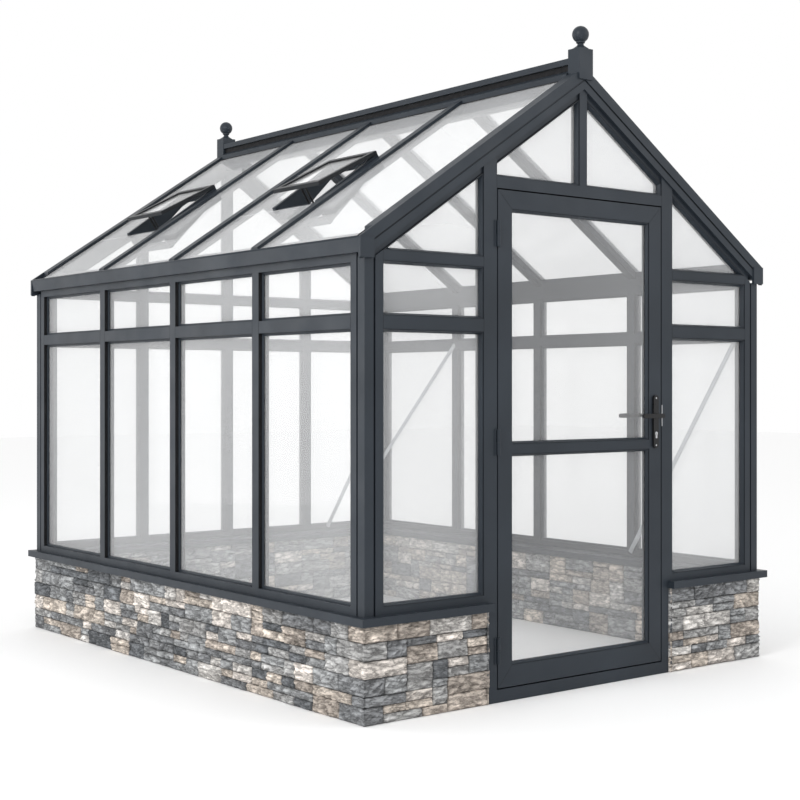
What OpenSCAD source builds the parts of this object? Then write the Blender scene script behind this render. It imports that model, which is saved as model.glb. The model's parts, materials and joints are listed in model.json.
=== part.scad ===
// Glass greenhouse on a low stone wall: aluminium frame, a door in one gable,
// two roof vents fixed open on the left slope, and a finial at each ridge end.
// Origin: centre of the footprint on the ground. X is the width, Y the length, Z up.
// The door is in the gable at -Y.

/* [Footprint] */
// Width over the stone wall
base_w = 2400; // [2200:10:3000]
// Length over the stone wall
base_l = 3000; // [2400:10:4200]

/* [Stone wall] */
// Height of the stone wall
stone_h = 386; // [250:1:500]
// Thickness of the stone wall
stone_t = 150; // [110:1:190]

/* [Sill] */
// Thickness of the sill on the wall
sill_t = 33; // [15:1:60]
// Overhang outside the stone
sill_out = 25; // [5:1:60]
// Overhang inside the stone
sill_in = 20; // [5:1:60]

/* [Frame] */
// Set-back of the frame from the stone's outer face
frame_set = 10; // [0:1:40]
// Face width of a corner post
post_w = 44; // [35:1:60]
// Width of the groove beside a corner post
post_gap = 9; // [5:1:15]
// Depth of that groove
post_gap_d = 12; // [4:1:20]
// Face width of the stiles beside the corner posts
stile_w = 38; // [25:1:50]
// Face width of a mullion
mullion_w = 50; // [35:1:65]
// Height of the bottom rails
bottom_rail = 32; // [20:1:50]
// Height of the rail under the eaves
eave_rail = 33; // [20:1:50]
// Height of a transom
transom_h = 52; // [35:1:65]
// Top of the lower transoms
transom_z = 1588; // [1350:1:1700]
// Height of the gable's upper transoms
gable_transom_h = 40; // [30:1:55]
// Number of bays along each side
side_bays = 4; // [2:1:6]

/* [Fits] */
// Clearance where one member is seated against another
joint_gap = 0.1; // [0.05:0.05:0.3]
// Clearance between the edge of a roof pane and what holds it
glass_play = 0.3; // [0.1:0.1:0.5]

/* [Glass] */
// Thickness of the glass
glass_t = 4; // [3:0.5:8]
// Depth of the wall glass behind the frame's face
glass_set = 26; // [15:1:40]

/* [Roof] */
// Height of the gutter's outer lip
eave_z = 1888; // [1800:1:2050]
// Pitch of the roof in degrees
roof_pitch = 33.65; // [28:0.05:38]
// Distance of the gutter's lip outside the frame
gutter_out = 30; // [15:1:50]
// Height of the gutter
gutter_h = 60; // [45:1:80]
// Inward lean of the gutter's outer face
gutter_lean = 8; // [0:1:15]
// Wall of the gutter
gutter_wall = 4; // [2:0.5:6]
// Width of a roof bar
bar_w = 50; // [40:1:60]
// Depth of a roof bar, square to the slope
bar_d = 50; // [40:1:65]
// Depth of the roof glass below the top of the bars
glass_drop = 14; // [8:1:20]
// Width of a bar between the edges of two panes
bar_neck = 30; // [20:1:35]
// Depth of the gable rafters, square to the slope
rafter_d = 80; // [60:1:100]
// Depth of a gable rafter's upper band, square to the slope
rafter_top = 42; // [30:1:50]
// Width of the groove under that band
rafter_groove_w = 7; // [2:1:10]
// Depth of that groove
rafter_groove_d = 6; // [3:1:8]
// Set-back of the rafter's lower band
rafter_step = 3; // [0:1:6]
// Depth of the inner band under the gable rafters
rafter_band = 25; // [15:1:35]
// Set-back of that inner band
rafter_band_set = 10; // [0:1:20]
// Height of the rafters' cut ends at the gutter
rafter_end = 85; // [70:1:96]
// Distance of the gable rafters' face outside the frame
rafter_out = 10; // [0:1:25]
// Width of the end block on a gable rafter
end_block_w = 68; // [50:1:80]
// Height of the end block
end_block_h = 80; // [60:1:85]
// Distance of the end block outside the rafter's face
end_block_out = 4; // [2:1:8]

/* [Ridge] */
// Width of the ridge beam's body
ridge_body_w = 44; // [34:1:60]
// Depth of the ridge beam's body below the apex
ridge_body_d = 110; // [80:1:130]
// Height of the ridge cap above the apex
ridge_rise = 49; // [35:1:70]
// Height of the cap's side
ridge_cap_h = 27; // [15:1:34]
// Half of the fall from the cap's middle to its edge
ridge_slant = 6; // [0:1:10]
// Width of the ridge cap
ridge_cap_w = 78; // [60:1:100]
// Width of the neck under the cap
ridge_neck_w = 52; // [40:1:58]
// Width over the two lips that hold the top of the glass
ridge_lip_w = 104; // [90:1:130]
// Height of a lip above the roof bars
ridge_lip_h = 8; // [4:1:12]

/* [Finials] */
// Width of a finial's box
finial_w = 82; // [80:1:110]
// Distance of a finial's box outside the gable rafters
finial_out = 8; // [2:1:15]
// Bottom of the box below the apex
finial_drop = 55; // [40:1:60]
// Height of the box
finial_box_h = 135; // [105:1:150]
// Radius of the ball
finial_ball_r = 37; // [25:1:45]
// Radius of the neck under the ball
finial_neck_r = 13; // [8:1:18]
// Height of the neck and its foot
finial_neck_h = 34; // [28:1:70]

/* [Door] */
// Clear width between the door posts
door_clear_w = 1010; // [840:5:1100]
// Face width of a door post above the sill
door_post_w = 72; // [60:1:90]
// Face width of a door post below the sill
door_post_foot_w = 45; // [35:1:55]
// Height of the lintel's underside
lintel_z = 2134; // [2050:1:2180]
// Height of the lintel
lintel_h = 48; // [35:1:60]
// Height of the threshold
threshold_h = 53; // [30:1:70]
// Depth of the threshold from front to back
threshold_d = 75; // [60:1:110]
// Width of the king post over the lintel
king_post_w = 45; // [35:1:60]
// Thickness of the door leaf
leaf_t = 45; // [38:1:47]
// Gap beside and over the leaf
leaf_gap = 6; // [5:0.5:10]
// Width of the leaf's stiles
leaf_stile = 78; // [60:1:95]
// Height of the leaf's top rail
leaf_top = 76; // [60:1:95]
// Height of the leaf's bottom rail
leaf_bottom = 88; // [60:1:120]
// Height of the leaf's middle rail
leaf_mid = 40; // [25:1:60]
// Centre height of the middle rail
leaf_mid_z = 1049; // [700:1:1400]
// Width of the stop behind the leaf
stop_w = 18; // [10:1:22]
// Thickness of the stop
stop_t = 12; // [8:1:20]

/* [Hinges] */
// Radius of a hinge's knuckle
knuckle_r = 8; // [6:0.5:8]
// Radius of a hinge's pin
pin_r = 4; // [3:0.5:4]
// Radial clearance of the pin in the moving knuckle
pin_clear = 0.05; // [0.02:0.01:0.1]
// Height of a hinge
hinge_h = 108; // [80:1:130]
// Width of a hinge plate
hinge_plate_w = 10; // [6:1:28]
// Thickness of a hinge plate
hinge_plate_t = 3; // [2:0.5:4]
// Centre height of the lowest hinge
hinge_low_z = 215; // [180:1:300]
// Spacing of the hinges
hinge_pitch = 865; // [700:5:880]

/* [Handle] */
// Height of the lever's spindle
lever_z = 1178; // [900:1:1300]
// Radius of the spindle
spindle_r = 8; // [6:0.5:9]
// Radial clearance of the spindle in the plates
spindle_clear = 0.05; // [0.02:0.01:0.1]
// Radial clearance of the spindle in the leaf
leaf_bore_clear = 1; // [0.5:0.1:2]
// Width of a handle plate
plate_w = 32; // [26:1:40]
// Thickness of a handle plate
plate_t = 10; // [5:1:12]
// Height of the plate above the spindle
plate_up = 93; // [60:1:120]
// Height of the plate below the spindle
plate_down = 147; // [90:1:180]
// Length of a lever
lever_l = 130; // [90:1:140]
// Height of a lever
lever_h = 20; // [14:1:26]
// Thickness of a lever
lever_t = 13; // [10:1:18]
// Gap between a plate and its lever
lever_stand = 32; // [25:1:45]

/* [Roof vents] */
// Width of a vent along the eaves
vent_w = 365; // [300:5:420]
// Length of a vent's curb down the slope
vent_l = 410; // [350:5:480]
// Distance from the apex down the slope to the curb
vent_start = 610; // [560:5:760]
// Thickness of the curb's boards
curb_t = 22; // [15:1:30]
// Height of the curb above the roof bars
curb_up = 12; // [6:1:25]
// Depth of the curb's cheeks below the roof bars' tops at the hinge
curb_down = 32; // [25:1:60]
// Depth of the cheeks at their lower end
cheek_down = 122; // [70:1:140]
// Height of the stay rail between the cheeks' lower ends
stay_rail_h = 34; // [20:1:45]
// Thickness of the sill under the pane below a vent
vent_sill_t = 6; // [4:1:10]
// Length by which the leaf stops short of the curb's lower end
leaf_short = 45; // [0:1:60]
// Angle at which the vents stand open
vent_open = 6; // [5:0.5:20]
// Face width of the vent leaf's frame
vent_rail = 28; // [20:1:40]
// Thickness of the vent leaf's frame
vent_frame_t = 18; // [12:1:30]
// Seating gap between the leaf's hinge edge and the curb
vent_seat_gap = 0.3; // [0.1:0.1:0.5]
// Radius of a stay's rod
stay_r = 5; // [3:0.5:7]
// Spacing of the two rods
stay_spread = 32; // [24:1:44]
// Length of the stay's base along the eaves
stay_base = 70; // [60:1:90]
// Height of the stay's base
stay_base_h = 16; // [10:1:24]
// Place of the stay across the vent, as a share of its width
stay_place = 0.4; // [0.3:0.05:0.7]

/* [Braces] */
// Width of a flat brace
brace_w = 25; // [15:1:35]
// Thickness of a flat brace
brace_t = 4; // [3:0.5:6]

/* [Hidden] */

$fn = 48;
frame_colour = "#3c4249";
stone_colour = "#a39c94";
glass_colour = [0.85, 0.9, 0.93, 0.35];
handle_colour = "#1c1d20";
brace_colour = "#b9bdc1";

half_w = base_w / 2;
half_l = base_l / 2;
face_x = half_w - frame_set;
face_y = half_l - frame_set;
frame_d = post_w + post_gap;
in_x = face_x - frame_d;
in_y = face_y - frame_d;
sill_z = stone_h + sill_t;
rail_z = sill_z + bottom_rail;
eave_x = face_x + gutter_out;
ridge_z = eave_z + eave_x * tan(roof_pitch);
gutter_z = eave_z - gutter_h;
gutter_in = face_x - 40;
glass_end_x = face_x;
glass_low = glass_drop + glass_t;
lip_drop = glass_drop - joint_gap;
flange_drop = glass_low + joint_gap;
neck_low = flange_drop + 1;
rafter_face = face_y + rafter_out;
finial_face = rafter_face + finial_out;
door_x = door_clear_w / 2;
post_x = door_x + door_post_w;
foot_x = door_x + door_post_foot_w;
leaf_x = door_x - leaf_gap;
leaf_z0 = threshold_h + leaf_gap;
leaf_z1 = lintel_z - leaf_gap;
leaf_back = -face_y + leaf_t;
leaf_mid_y = -face_y + leaf_t / 2;
stop_y = joint_gap - in_y;
stop_z0 = threshold_h + joint_gap;
stop_z1 = lintel_z - stop_w;
hinge_x = -(door_x + leaf_x) / 2;
hinge_y = -face_y - knuckle_r;
lever_x = leaf_x - leaf_stile / 2 - 2;
side_pitch = (2 * (in_y - stile_w) - (side_bays - 1) * mullion_w) / side_bays + mullion_w;
mullion_ys = [for (i = [1 : side_bays - 1]) side_pitch * (i - side_bays / 2)];
back_pitch = (2 * (in_x - stile_w) - 3 * mullion_w) / 4 + mullion_w;
back_mullions = [-back_pitch, 0, back_pitch];
wall_top = gutter_z;
post_top = min(gutter_z, roof_z(face_x, rafter_d)) - joint_gap;
vent_bars = [mullion_ys[0], mullion_ys[2 < side_bays - 1 ? 2 : side_bays - 2]];
inner_drop = rafter_d + rafter_band;
rafter_foot = eave_z - rafter_end;
vent_end = vent_start + vent_l;
far = 2 * (base_w + base_l);

// Height of the plane that lies `drop` below the tops of the roof bars
function roof_z(x, drop) = ridge_z - abs(x) * tan(roof_pitch) - drop / cos(roof_pitch);

// A block between two corners
module block(x0, x1, y0, y1, z0, z1) {
  translate([x0, y0, z0]) cube([x1 - x0, y1 - y0, z1 - z0]);
}

// The same thing on both sides of the ridge
module both_sides() {
  children();
  mirror([1, 0, 0]) children();
}

// A cross-section in the XZ plane, drawn out along Y
module along_y(y0, y1) {
  translate([0, y1, 0]) rotate([90, 0, 0]) linear_extrude(y1 - y0) children();
}

// A sloping band on the right slope, between two depths below the roof bars' tops
module slope_band(x0, x1, d0, d1, y0, y1) {
  along_y(y0, y1)
    polygon([
      [x0, roof_z(x0, d0)], [x1, roof_z(x1, d0)],
      [x1, roof_z(x1, d1)], [x0, roof_z(x0, d1)]
    ]);
}

// Everything seated under a plane that lies `drop` below the roof bars' tops
module below_roof(drop) {
  w = half_w + 100;
  d = drop + joint_gap;
  along_y(-far, far)
    polygon([
      [-w, -10], [w, -10], [w, roof_z(w, d)], [0, roof_z(0, d)], [-w, roof_z(w, d)]
    ]);
}

// Axes of the left slope: X runs down the slope from the apex, Z stands square to it
module on_left_slope() {
  mirror([1, 0, 0]) translate([0, 0, ridge_z]) rotate([0, roof_pitch, 0]) children();
}

// ---- stone wall and sill ----

module stone_wall_side() {
  block(half_w - stone_t, half_w, -half_l, half_l, 0, stone_h);
}

module stone_wall_left() {
  color(stone_colour) mirror([1, 0, 0]) stone_wall_side();
}

module stone_wall_right() {
  color(stone_colour) stone_wall_side();
}

module stone_wall_back() {
  color(stone_colour) block(stone_t - half_w, half_w - stone_t, half_l - stone_t, half_l, 0, stone_h);
}

module stone_piers_front() {
  color(stone_colour) both_sides()
    block(foot_x, half_w - stone_t, -half_l, stone_t - half_l, 0, stone_h);
}

// Sill outline: outer and inner corner positions, mitred at 45 degrees
sill_ox = half_w + sill_out;
sill_ix = half_w - stone_t - sill_in;
sill_oy = half_l + sill_out;
sill_iy = half_l - stone_t - sill_in;

module sill_piece(points) {
  color(frame_colour) translate([0, 0, stone_h]) linear_extrude(sill_t) polygon(points);
}

module sill_right() {
  sill_piece([[sill_ox, -sill_oy], [sill_ox, sill_oy], [sill_ix, sill_iy], [sill_ix, -sill_iy]]);
}

module sill_left() {
  mirror([1, 0, 0]) sill_right();
}

module sill_back() {
  sill_piece([[-sill_ox, sill_oy], [-sill_ix, sill_iy], [sill_ix, sill_iy], [sill_ox, sill_oy]]);
}

module sill_front() {
  both_sides()
    sill_piece([[foot_x, -sill_oy], [sill_ox, -sill_oy], [sill_ix, -sill_iy], [foot_x, -sill_iy]]);
}

// ---- wall frames ----

module corner_post() {
  block(face_x - post_w, face_x, face_y - post_w, face_y, sill_z, post_top);
  block(in_x, face_x - post_gap_d, in_y, face_y - post_gap_d, sill_z, post_top);
}

module corner_posts() {
  color(frame_colour) both_sides() {
    corner_post();
    mirror([0, 1, 0]) corner_post();
  }
}

// Clear stretches between the members along a side: [from, to] in Y
side_edges = concat([stile_w - in_y], [for (y = mullion_ys) each [y - mullion_w / 2, y + mullion_w / 2]],
  [in_y - stile_w]);
side_spans = [for (i = [0 : side_bays - 1]) [side_edges[2 * i], side_edges[2 * i + 1]]];

// Uprights from the sill to the gutter, and rails seated between them
module side_frame() {
  block(in_x, face_x, -in_y, stile_w - in_y, sill_z, wall_top);
  block(in_x, face_x, in_y - stile_w, in_y, sill_z, wall_top);
  for (y = mullion_ys) block(in_x, face_x, y - mullion_w / 2, y + mullion_w / 2, sill_z, wall_top);
  for (s = side_spans) {
    block(in_x, face_x, s[0] + joint_gap, s[1] - joint_gap, sill_z, rail_z);
    block(in_x, face_x, s[0] + joint_gap, s[1] - joint_gap, wall_top - eave_rail, wall_top);
  }
}

module side_transoms() {
  for (s = side_spans) block(in_x, face_x, s[0], s[1], transom_z - transom_h, transom_z);
}

module side_glass() {
  x = face_x - glass_set - glass_t;
  for (s = side_spans) {
    block(x, x + glass_t, s[0], s[1], rail_z, transom_z - transom_h);
    block(x, x + glass_t, s[0], s[1], transom_z, wall_top - eave_rail);
  }
}

module left_wall_frame() {
  color(frame_colour) mirror([1, 0, 0]) side_frame();
}

module left_wall_transoms() {
  color(frame_colour) mirror([1, 0, 0]) side_transoms();
}

module left_wall_glass() {
  color(glass_colour) mirror([1, 0, 0]) side_glass();
}

module right_wall_frame() {
  color(frame_colour) side_frame();
}

module right_wall_transoms() {
  color(frame_colour) side_transoms();
}

module right_wall_glass() {
  color(glass_colour) side_glass();
}

// Clear stretches between the members of the back wall: [from, to] in X
back_edges = concat([stile_w - in_x], [for (x = back_mullions) each [x - mullion_w / 2, x + mullion_w / 2]],
  [in_x - stile_w]);
back_spans = [for (i = [0 : 3]) [back_edges[2 * i], back_edges[2 * i + 1]]];

module back_wall_frame() {
  color(frame_colour) intersection() {
    union() {
      both_sides() block(in_x - stile_w, in_x, in_y, face_y, sill_z, ridge_z);
      for (x = back_mullions) block(x - mullion_w / 2, x + mullion_w / 2, in_y, face_y, sill_z, ridge_z);
      for (s = back_spans) block(s[0] + joint_gap, s[1] - joint_gap, in_y, face_y, sill_z, rail_z);
    }
    below_roof(inner_drop);
  }
}

gable_transom_z = wall_top + 15;

module back_wall_transoms() {
  color(frame_colour) intersection() {
    for (s = back_spans) {
      block(s[0], s[1], in_y, face_y, transom_z - transom_h, transom_z);
      block(s[0], s[1], in_y, face_y, gable_transom_z - gable_transom_h, gable_transom_z);
    }
    below_roof(inner_drop);
  }
}

// Panes over one clear stretch of a gable wall, from z0 up to the rafters
module gable_panes(x0, x1, y, z0) {
  intersection() {
    union() {
      block(x0, x1, y, y + glass_t, z0, transom_z - transom_h);
      block(x0, x1, y, y + glass_t, transom_z, gable_transom_z - gable_transom_h);
      block(x0, x1, y, y + glass_t, gable_transom_z, ridge_z);
    }
    below_roof(inner_drop);
  }
}

module back_wall_glass() {
  color(glass_colour)
    for (s = back_spans) gable_panes(s[0], s[1], face_y - glass_set - glass_t, rail_z);
}

// ---- front wall ----

module door_post() {
  block(door_x, foot_x, -face_y, -in_y, 0, sill_z - joint_gap);
  intersection() {
    block(door_x, post_x, -face_y, -in_y, sill_z, ridge_z);
    below_roof(rafter_d);
  }
  block(door_x - stop_w, door_x + stop_w, stop_y, stop_y + stop_t, stop_z0, stop_z1);
}

module door_posts() {
  color(frame_colour) both_sides() door_post();
}

module door_lintel() {
  color(frame_colour) intersection() {
    union() {
      block(-door_x, door_x, -face_y, -in_y, lintel_z, lintel_z + lintel_h);
      block(-door_x, door_x, stop_y, stop_y + stop_t, stop_z1 + joint_gap, lintel_z + stop_w);
    }
    below_roof(inner_drop);
  }
}

module door_threshold() {
  color(frame_colour) {
    block(-door_x, door_x, -face_y, threshold_d - face_y, 0, threshold_h);
    block(stop_w - door_x, door_x - stop_w, stop_y, stop_y + stop_t, stop_z0, threshold_h + stop_w);
  }
}

module king_post() {
  color(frame_colour) intersection() {
    block(-king_post_w / 2, king_post_w / 2, -face_y, -in_y, lintel_z + lintel_h, ridge_z);
    below_roof(rafter_d);
  }
}

module front_panel_frames() {
  color(frame_colour) both_sides() intersection() {
    union() {
      block(post_x, in_x - stile_w - joint_gap, -face_y, -in_y, sill_z, rail_z);
      block(in_x - stile_w, in_x, -face_y, -in_y, sill_z, ridge_z);
    }
    below_roof(inner_drop);
  }
}

module front_transoms() {
  color(frame_colour) both_sides() intersection() {
    union() {
      block(post_x, in_x - stile_w, -face_y, -in_y, transom_z - transom_h, transom_z);
      block(post_x, in_x - stile_w, -face_y, -in_y, gable_transom_z - gable_transom_h, gable_transom_z);
    }
    below_roof(inner_drop);
  }
}

module front_glass() {
  y = glass_set - face_y;
  color(glass_colour) both_sides() {
    gable_panes(post_x, in_x - stile_w, y, rail_z);
    intersection() {
      block(king_post_w / 2, door_x, y, y + glass_t, lintel_z + lintel_h, ridge_z);
      below_roof(inner_drop);
    }
  }
}

// ---- roof ----

module finial_box() {
  z0 = ridge_z - finial_drop;
  block(-finial_w / 2, finial_w / 2, in_y, finial_face, z0, z0 + finial_box_h);
}

module finial_spike() {
  z0 = ridge_z - finial_drop + finial_box_h;
  foot = (finial_face - in_y) / 2;
  translate([0, finial_face - foot, z0]) {
    rotate_extrude() polygon([
      [0, -1], [foot, -1], [foot, 3], [foot * 0.8, 8], [finial_neck_r * 1.2, finial_neck_h * 0.5],
      [finial_neck_r, finial_neck_h * 0.75], [finial_neck_r * 1.5, finial_neck_h * 0.85],
      [finial_neck_r * 1.5, finial_neck_h], [0, finial_neck_h]
    ]);
    translate([0, 0, finial_neck_h + finial_ball_r - 5]) sphere(r = finial_ball_r);
  }
}

module ridge_finials() {
  color(frame_colour) {
    finial_box();
    finial_spike();
    mirror([0, 1, 0]) {
      finial_box();
      finial_spike();
    }
  }
}

// The right-hand rafter of a gable: an upper band, a groove and a lower band set back.
// Behind the gable's face it stops at the gutter, which runs on to that face.
module rafter_body() {
  low = rafter_top + rafter_groove_w;
  difference() {
    union() {
      slope_band(0, gutter_in - joint_gap, 0, rafter_d, in_y, rafter_face);
      slope_band(0, eave_x, 0, rafter_d, face_y + joint_gap, rafter_face);
    }
    slope_band(-1, eave_x + 1, rafter_top, low, rafter_face - rafter_groove_d, rafter_face + 1);
    slope_band(-1, eave_x + 1, low - 1, rafter_d + 1, rafter_face - rafter_step, rafter_face + 1);
  }
}

// One gable's rafters, drawn at the +Y end; `posts` are the clear stretches under them
module gable_rafters(posts) {
  both_sides() {
    difference() {
      intersection() {
        union() {
          rafter_body();
          for (s = posts)
            slope_band(s[0], s[1], rafter_d - 5, inner_drop, in_y, face_y - rafter_band_set);
        }
        block(0, eave_x, in_y, rafter_face, rafter_foot, ridge_z);
      }
      finial_box();
    }
    block(eave_x - end_block_w, eave_x, face_y + joint_gap, rafter_face + end_block_out,
      eave_z - end_block_h, eave_z);
  }
}

module front_gable_rafters() {
  color(frame_colour) mirror([0, 1, 0])
    gable_rafters([[king_post_w / 2, door_x], [post_x, in_x]]);
}

module back_gable_rafters() {
  color(frame_colour) gable_rafters([[0, in_x]]);
}

// A roof bar: a top and a bottom flange, with a neck between the edges of the panes
module roof_bar(y) {
  x0 = ridge_body_w / 2;
  slope_band(x0, glass_end_x + 5, 0, lip_drop, y - bar_w / 2, y + bar_w / 2);
  slope_band(x0, glass_end_x + 5, lip_drop - 1, neck_low, y - bar_neck / 2, y + bar_neck / 2);
  slope_band(x0, gutter_in, flange_drop, bar_d, y - bar_w / 2, y + bar_w / 2);
}

module roof_bars() {
  for (y = mullion_ys) roof_bar(y);
}

module roof_bars_left() {
  color(frame_colour) mirror([1, 0, 0]) roof_bars();
}

module roof_bars_right() {
  color(frame_colour) roof_bars();
}

// The height at which the ridge cap sits on the beam
ridge_seat = roof_z(ridge_neck_w / 2, 0) + ridge_lip_h;

module ridge_beam() {
  b = ridge_body_w / 2;
  n = ridge_neck_w / 2;
  l = ridge_lip_w / 2;
  lip_z = roof_z(l, 0) + ridge_lip_h;
  foot = ridge_z - ridge_body_d;
  color(frame_colour) difference() {
    along_y(-in_y, in_y) polygon([
      [-n, ridge_seat], [n, ridge_seat], [l, lip_z], [l, roof_z(l, lip_drop)], [b, roof_z(b, lip_drop)],
      [b, foot], [-b, foot], [-b, roof_z(b, lip_drop)], [-l, roof_z(l, lip_drop)], [-l, lip_z]
    ]);
    both_sides()
      for (y = mullion_ys) slope_band(b, ridge_lip_w, -joint_gap, glass_low, y - bar_w / 2, y + bar_w / 2);
  }
}

module ridge_cap() {
  n = ridge_neck_w / 2;
  c = ridge_cap_w / 2;
  top = ridge_z + ridge_rise;
  under = top - ridge_cap_h - ridge_slant;
  seat = ridge_seat + joint_gap;
  color(frame_colour) along_y(-in_y, in_y) polygon([
    [0, top + ridge_slant], [c, top - ridge_slant], [c, under], [n, under], [n, seat],
    [-n, seat], [-n, under], [-c, under], [-c, top - ridge_slant]
  ]);
}

// Clear stretches of the roof between the bars' necks: [from, to] in Y
roof_edges = concat([-in_y], [for (y = mullion_ys) each [y - bar_neck / 2, y + bar_neck / 2]], [in_y]);
roof_spans = [for (i = [0 : side_bays - 1]) [roof_edges[2 * i], roof_edges[2 * i + 1]]];

module roof_pane(s) {
  x0 = ridge_body_w / 2 + glass_play;
  slope_band(x0, glass_end_x, glass_drop, glass_low, s[0] + glass_play, s[1] - glass_play);
}

module roof_glass_right() {
  color(glass_colour) for (s = roof_spans) roof_pane(s);
}

// Where the curb beside the bar at y begins
function curb_y(y) = y + bar_w / 2 + joint_gap;

function has_vent(s) = len([for (b = vent_bars) if (abs(s[0] - b - bar_neck / 2) < 1) b]) > 0;

module roof_glass_left() {
  color(glass_colour)
    for (s = roof_spans)
      if (!has_vent(s)) mirror([1, 0, 0]) roof_pane(s);
      else for (part = [0 : 2]) intersection() {
        mirror([1, 0, 0]) roof_pane(s);
        on_left_slope() vent_bay_part(part, curb_y(s[0] - bar_neck / 2) + vent_w);
      }
}

// The space above, below or beside a vent's curb, which ends at y, for one pane of its bay
module vent_bay_part(part, y) {
  end = vent_end + glass_play;
  if (part == 0) translate([-far, -far, -far / 2]) cube([far + vent_start - glass_play, 2 * far, far]);
  if (part == 1) translate([end, -far, -far / 2]) cube([far, 2 * far, far]);
  if (part == 2) translate([vent_start, y + glass_play, -far / 2]) cube([vent_l, far, far]);
}

module gutter() {
  lean_x = eave_x - gutter_lean;
  floor_z = gutter_z + gutter_wall;
  inner_x = gutter_in + gutter_wall;
  along_y(-face_y, face_y) polygon([
    [gutter_in, gutter_z], [lean_x, gutter_z], [eave_x, eave_z], [eave_x - gutter_wall, eave_z],
    [lean_x - gutter_wall, floor_z], [inner_x, floor_z], [inner_x, roof_z(inner_x, neck_low + joint_gap)],
    [gutter_in, roof_z(gutter_in, neck_low + joint_gap)]
  ]);
}

module eaves_gutters() {
  color(frame_colour) both_sides() gutter();
}

// ---- roof vents, on the left slope's axes ----

// A tapering cheek between a vent's hinge board and its stay rail, from y0 on
module vent_cheek(y0) {
  translate([0, y0 + curb_t, 0]) rotate([90, 0, 0]) linear_extrude(curb_t)
    polygon([
      [vent_start, -curb_down], [vent_end, -cheek_down], [vent_end, 0],
      [vent_start + curb_t, curb_up], [vent_start, curb_up]
    ]);
}

module vent_curb(y) {
  y0 = curb_y(y);
  vent_cheek(y0);
  vent_cheek(y0 + vent_w - curb_t);
  translate([vent_start, y0, -curb_down]) cube([curb_t, vent_w, curb_down + curb_up]);
  translate([vent_end - curb_t, y0, -cheek_down]) cube([curb_t, vent_w, stay_rail_h]);
  translate([vent_end - curb_t, y0, -flange_drop - vent_sill_t]) cube([2 * curb_t, vent_w, vent_sill_t]);
}

module vent_curbs() {
  color(frame_colour) on_left_slope() for (y = vent_bars) vent_curb(y);
}

// Axes of an open vent leaf: origin at its hinge edge, X down the leaf
module on_vent_leaf(y) {
  on_left_slope() translate([vent_start, curb_y(y), curb_up + vent_seat_gap])
    rotate([0, -vent_open, 0]) children();
}

leaf_len = vent_l - leaf_short;

light_len = leaf_len - 2 * vent_rail;
light_w = vent_w - 2 * vent_rail;

module vent_leaf_frame() {
  difference() {
    cube([leaf_len, vent_w, vent_frame_t]);
    translate([vent_rail, vent_rail, -1]) cube([light_len, light_w, vent_frame_t + 2]);
  }
}

module vent_leaf_frames() {
  color(frame_colour) for (y = vent_bars) on_vent_leaf(y) vent_leaf_frame();
}

module vent_glass() {
  color(glass_colour) for (y = vent_bars) on_vent_leaf(y)
    translate([vent_rail, vent_rail, (vent_frame_t - glass_t) / 2])
      cube([light_len, light_w, glass_t]);
}

// A stay: a block that reaches in from the stay rail and two rods up to the leaf's lower rail
module vent_stay(y) {
  mid = curb_y(y) + vent_w * stay_place;
  foot_s = vent_start + leaf_len * cos(vent_open) - vent_rail / 2;
  reach = (foot_s - vent_start) / cos(vent_open);
  under = vent_seat_gap + stay_r * tan(vent_open);
  top_n = curb_up + vent_seat_gap + reach * sin(vent_open) - under;
  low_n = stay_rail_h - cheek_down;
  block_s = foot_s - 2 * stay_r;
  on_left_slope() {
    translate([block_s, mid - stay_base / 2, low_n]) cube([vent_end - block_s, stay_base, stay_base_h]);
    for (k = [-1, 1])
      translate([foot_s, mid + k * stay_spread / 2, low_n]) cylinder(h = top_n - low_n, r = stay_r);
  }
}

module vent_stays() {
  color(handle_colour) for (y = vent_bars) vent_stay(y);
}

// ---- braces inside ----

// A flat brace on a side wall's inner face, from one [y, z] to another
module side_brace(p, q) {
  d = q - p;
  translate([in_x - brace_t, p[0], p[1]]) rotate([atan2(d[1], d[0]), 0, 0])
    translate([0, 0, -brace_w / 2]) cube([brace_t, norm(d), brace_w]);
}

// A flat brace on the back wall's inner face, from one [x, z] to another
module back_brace(p, q) {
  d = q - p;
  translate([p[0], in_y - brace_t, p[1]]) rotate([0, -atan2(d[1], d[0]), 0])
    translate([0, 0, -brace_w / 2]) cube([norm(d), brace_t, brace_w]);
}

module wall_braces() {
  foot_z = sill_z + bottom_rail / 2 + 6;
  high_z = transom_z - transom_h / 2;
  end_y = in_y - stile_w / 2;
  last = mullion_ys[side_bays - 2];
  color(brace_colour) {
    side_brace([mullion_ys[0], foot_z], [-end_y, high_z]);
    side_brace([last, high_z], [end_y, high_z - (end_y - last)]);
    back_brace([back_pitch + 150, foot_z], [in_x - stile_w / 2 - 8, foot_z + 680]);
  }
}

// ---- door ----

hinge_zs = [for (i = [0 : 2]) hinge_low_z + i * hinge_pitch];
knuckle_gap = 2;

// One half of a hinge: a knuckle and its plate, on the side given by the sign of k
module hinge_half(k, z0, z1, plate_z0, plate_z1) {
  root = knuckle_r + 1;
  y0 = -face_y - hinge_plate_t;
  difference() {
    union() {
      translate([hinge_x, hinge_y, z0]) cylinder(h = z1 - z0, r = knuckle_r);
      block(hinge_x + min(0, k * root), hinge_x + max(0, k * root), y0, -face_y, z0, z1);
    }
    translate([hinge_x, hinge_y, z0 - 1]) cylinder(h = z1 - z0 + 2, r = pin_r);
  }
  near = k * root;
  tip = k * (root + hinge_plate_w);
  block(hinge_x + min(near, tip), hinge_x + max(near, tip), y0, -face_y, plate_z0, plate_z1);
}

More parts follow.
